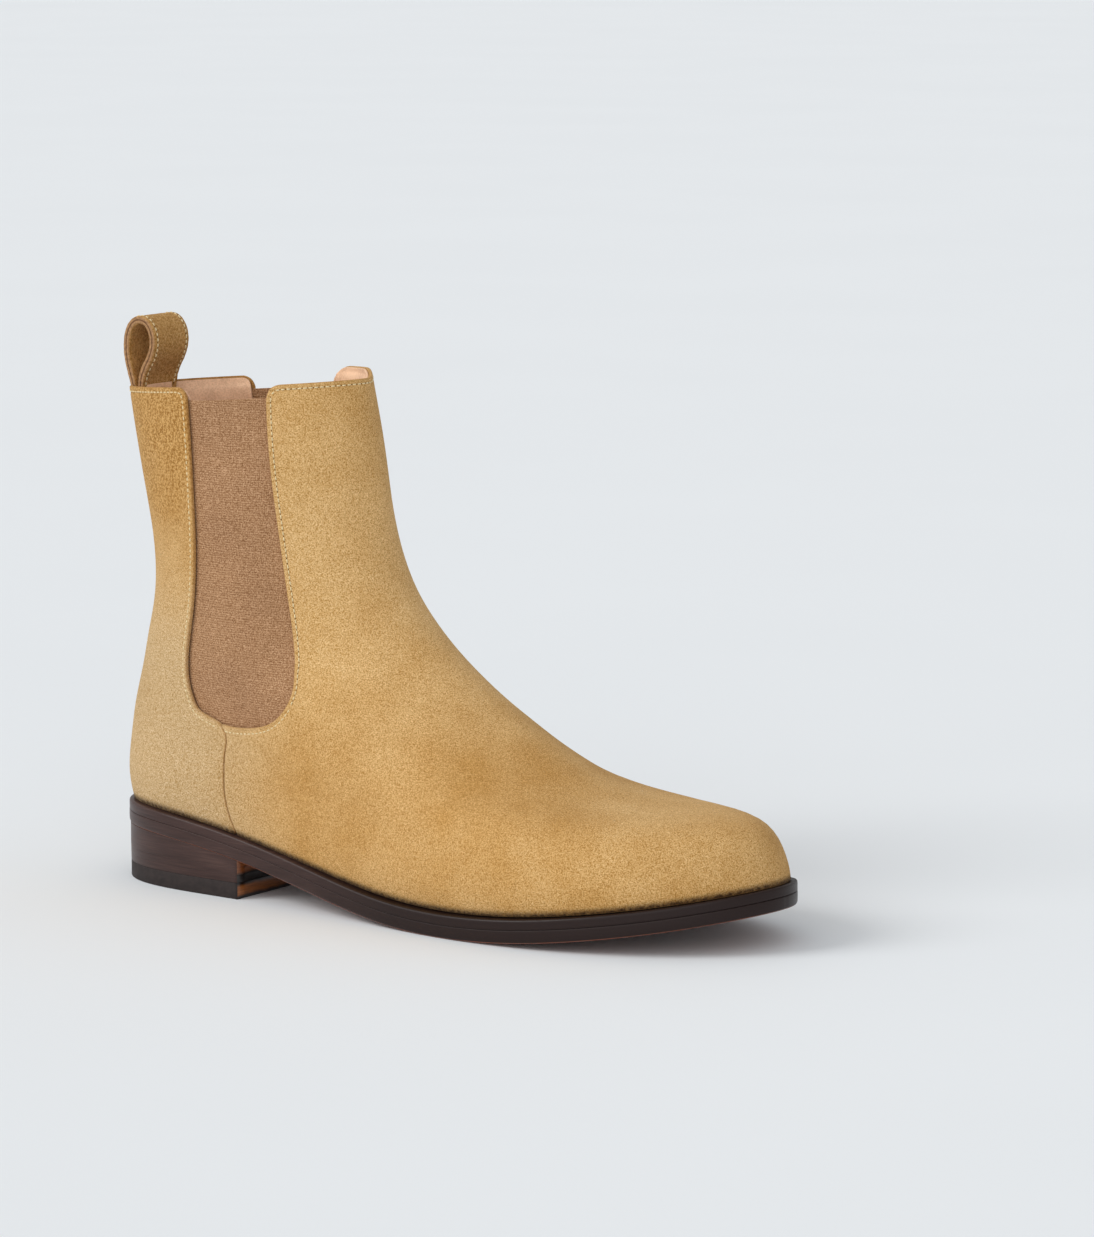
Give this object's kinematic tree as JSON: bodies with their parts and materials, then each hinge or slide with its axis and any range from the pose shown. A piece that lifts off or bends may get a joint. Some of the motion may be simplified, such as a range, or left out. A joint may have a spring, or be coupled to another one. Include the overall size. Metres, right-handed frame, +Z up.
{
  "type": "chelsea boot",
  "caption": "Ankle boot with elastic side gussets, a low stacked heel on a leather sole, and a sewn pull loop at the back.",
  "frame": {"origin": "on the floor, under the middle of the heel", "axes": "+Z up; +X forwards to the toe; +Y towards the inner side of the foot, so that the outer side is at -Y"},
  "size_m": [0.3007, 0.104, 0.2225],
  "materials": {
    "suede": "short brushed nap",
    "piping": "raw dark edge",
    "elastic": "fine ribs",
    "stiffener": "matte",
    "lining": "smooth",
    "thread": "waxed",
    "board": "matte",
    "foam": "matte",
    "cork": "granular",
    "steel": "plain",
    "sole_leather": "stained and waxed",
    "rubber": "matte",
    "brass": "plain"
  },
  "bodies": {
    "boot": {"quarter_outer": "suede", "quarter_inner": "suede", "instep_suede": "suede", "vamp_flex": "suede", "back_piping": "piping", "gore_outer": "elastic", "gore_inner": "elastic", "heel_counter": "stiffener", "lining_back": "lining", "lining_instep": "lining", "lining_flex": "lining", "stitching_back": "thread", "stitching_instep": "thread", "loop_tab": "suede", "insole_rear": "board", "sock_rear": "lining", "heel_pad": "foam", "cork_rear": "cork", "cork_middle": "cork", "shank": "steel", "outsole_rear": "sole_leather", "welt_rear": "sole_leather", "rubber_top_piece": "rubber", "top_piece_pins": "brass", "heel_lift_lower": "sole_leather", "heel_lift_upper": "sole_leather", "heel_wedge": "sole_leather", "heel_nails": "steel"},
    "shaft_front": {"shaft_front": "suede", "lining_shaft": "lining", "stitching_shaft": "thread"},
    "forefoot": {"toe_suede": "suede", "toe_puff": "stiffener", "lining_toe": "lining", "insole_fore": "board", "sock_fore": "lining", "cork_fore": "cork", "outsole_fore": "sole_leather", "welt_fore": "sole_leather"},
    "pull_loop": {"pull_loop": "suede"}
  },
  "joints": [
    {"name": "shaft_opening", "type": "hinge", "parent": "boot", "child": "shaft_front", "pos_m": [0.1108, 0, 0.0985], "axis": [0, 1, 0], "range_deg": [0, 10], "stiffness_Nm_per_rad": 3, "deforming": ["gore_outer", "gore_inner"]},
    {"name": "toe_flex", "type": "hinge", "parent": "boot", "child": "forefoot", "pos_m": [0.165, 0, 0.0133], "axis": [0, -1, 0], "range_deg": [0, 25], "stiffness_Nm_per_rad": 2, "deforming": ["vamp_flex", "lining_flex"]},
    {"name": "loop_fold", "type": "hinge", "parent": "boot", "child": "pull_loop", "pos_m": [-0.0268, 0, 0.1965], "axis": [0, 1, 0], "range_deg": [-25, 60], "stiffness_Nm_per_rad": 0.02}
  ]
}
